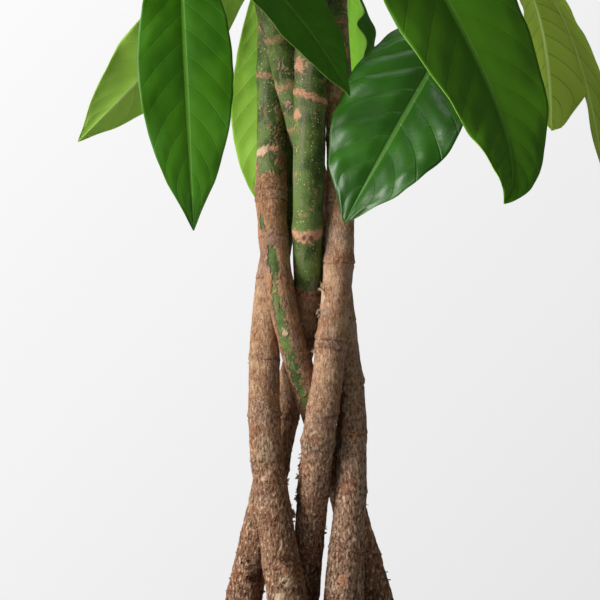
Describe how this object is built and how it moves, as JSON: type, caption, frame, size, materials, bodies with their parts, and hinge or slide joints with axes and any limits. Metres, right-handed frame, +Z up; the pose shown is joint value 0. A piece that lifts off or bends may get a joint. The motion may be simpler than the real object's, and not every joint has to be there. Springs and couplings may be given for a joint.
{
  "type": "potted money tree",
  "caption": "Potted braided money tree: woody stems twisted round each other rise from a plain tapered round pot of soil to a crown of hand-shaped drooping leaves",
  "frame": {"origin": "centre of the flat base of the pot, on the surface that the plant stands on", "axes": "+Z up along the plant's axis; the side seen first faces -Y, with +X to its right"},
  "size_m": [0.8808, 0.8742, 1.1989],
  "materials": {
    "pot_ceramic": "matte off-white stoneware",
    "potting_mix": "moist dark potting mix of bark and fibre",
    "bark": "dry grey-brown bark, green towards the top",
    "leaf_green": "thin leathery leaf, glossy above and paler and duller below"
  },
  "bodies": {
    "root": {"pot": "pot_ceramic", "soil": "potting_mix", "stem_left_back": "bark", "stem_right_back": "bark", "stem_front_right": "bark", "stem_middle": "bark", "stem_front_left": "bark", "leaf_low_front_left": "leaf_green", "leaf_low_left": "leaf_green", "leaf_low_back": "leaf_green", "leaf_low_right": "leaf_green", "leaf_low_front": "leaf_green", "leaf_crown_01": "leaf_green", "leaf_crown_02": "leaf_green", "leaf_crown_03": "leaf_green", "leaf_crown_04": "leaf_green", "leaf_crown_05": "leaf_green", "leaf_crown_06": "leaf_green", "leaf_crown_07": "leaf_green", "leaf_crown_08": "leaf_green", "leaf_crown_09": "leaf_green", "leaf_crown_10": "leaf_green", "leaf_crown_11": "leaf_green", "leaf_crown_12": "leaf_green", "leaf_crown_13": "leaf_green", "leaf_crown_14": "leaf_green", "leaf_crown_15": "leaf_green", "leaf_crown_16": "leaf_green", "leaf_crown_17": "leaf_green", "leaf_crown_18": "leaf_green", "leaf_crown_19": "leaf_green", "leaf_crown_20": "leaf_green", "leaf_crown_21": "leaf_green"}
  },
  "joints": []
}
